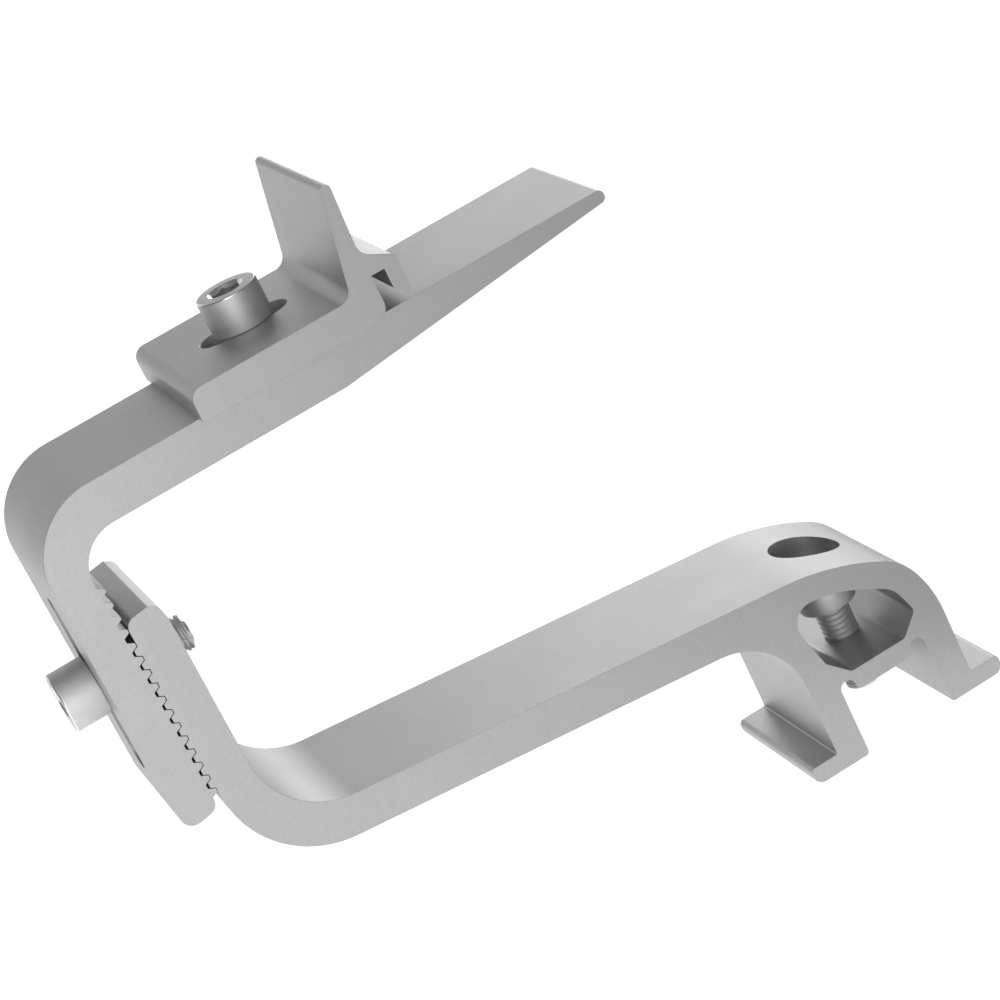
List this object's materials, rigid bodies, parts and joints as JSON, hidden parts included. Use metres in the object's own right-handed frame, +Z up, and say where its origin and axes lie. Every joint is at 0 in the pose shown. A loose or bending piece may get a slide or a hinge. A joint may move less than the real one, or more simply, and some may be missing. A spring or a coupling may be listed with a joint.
{
  "type": "adjustable solar roof hook",
  "caption": "Height-adjustable solar roof hook: two toothed aluminium arms, a slotted rail clamp and cap screws.",
  "frame": {"origin": "midway between the two feet and across the width, at the height of their soles", "axes": "+Z up from the base rail, +X along the upper arm from its leg to its tip, +Y across the width"},
  "size_m": [0.1788, 0.046, 0.1693],
  "materials": {
    "aluminium": "satin",
    "screw_steel": "polished stainless"
  },
  "bodies": {
    "lower_arm": {"lower_arm": "aluminium"},
    "leg_screw": {"leg_screw": "screw_steel"},
    "upper_arm": {"upper_arm": "aluminium"},
    "rail_clamp": {"rail_clamp": "aluminium"},
    "clamp_screw": {"clamp_screw": "screw_steel"},
    "foot_screw": {"foot_screw": "screw_steel"}
  },
  "joints": [
    {"name": "leg_screw_release", "type": "slide", "parent": "lower_arm", "child": "leg_screw", "axis": [-1, 0, 0], "range_m": [0, 0.002]},
    {"name": "height_adjust", "type": "slide", "parent": "leg_screw", "child": "upper_arm", "axis": [0, 0, 1], "range_m": [-0.0096, 0.0096]},
    {"name": "clamp_slide", "type": "slide", "parent": "upper_arm", "child": "rail_clamp", "axis": [1, 0, 0], "range_m": [-0.0055, 0.0055]},
    {"name": "clamp_screw_lift", "type": "slide", "parent": "upper_arm", "child": "clamp_screw", "axis": [0, 0, 1], "range_m": [0, 0.004]},
    {"name": "foot_screw_feed", "type": "slide", "parent": "lower_arm", "child": "foot_screw", "axis": [0, 0, -1], "range_m": [-0.006, 0.0072]}
  ]
}
